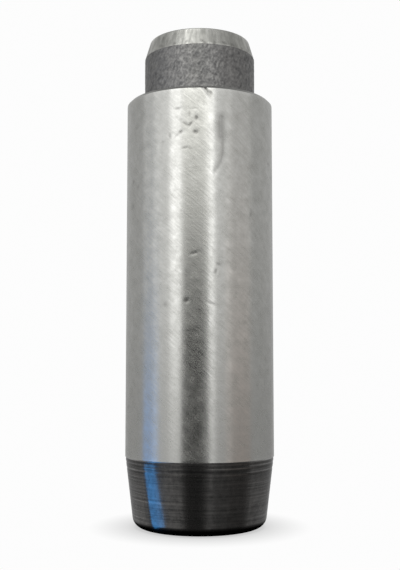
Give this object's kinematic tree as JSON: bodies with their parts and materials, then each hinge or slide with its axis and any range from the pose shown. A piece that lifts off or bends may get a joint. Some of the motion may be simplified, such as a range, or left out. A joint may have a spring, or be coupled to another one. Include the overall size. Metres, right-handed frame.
{
  "type": "engine valve guide",
  "caption": "Engine valve guide: a ground sleeve with a tapered nose, a reamed stem bore and a stepped neck that seats a valve-stem seal.",
  "frame": {"origin": "centre of the nose face, on the axis of the stem bore", "axes": "+Z along the bore axis, from the nose face towards the neck and its seal seat; X and Y are free, because the part is a solid of revolution"},
  "size_m": [0.016, 0.016, 0.053],
  "materials": {
    "cast_iron": "ground on the body, turned on the nose and the lead-in, rough on the neck, reamed in the bore"
  },
  "bodies": {
    "root": {"valve_guide": "cast_iron"}
  },
  "joints": []
}
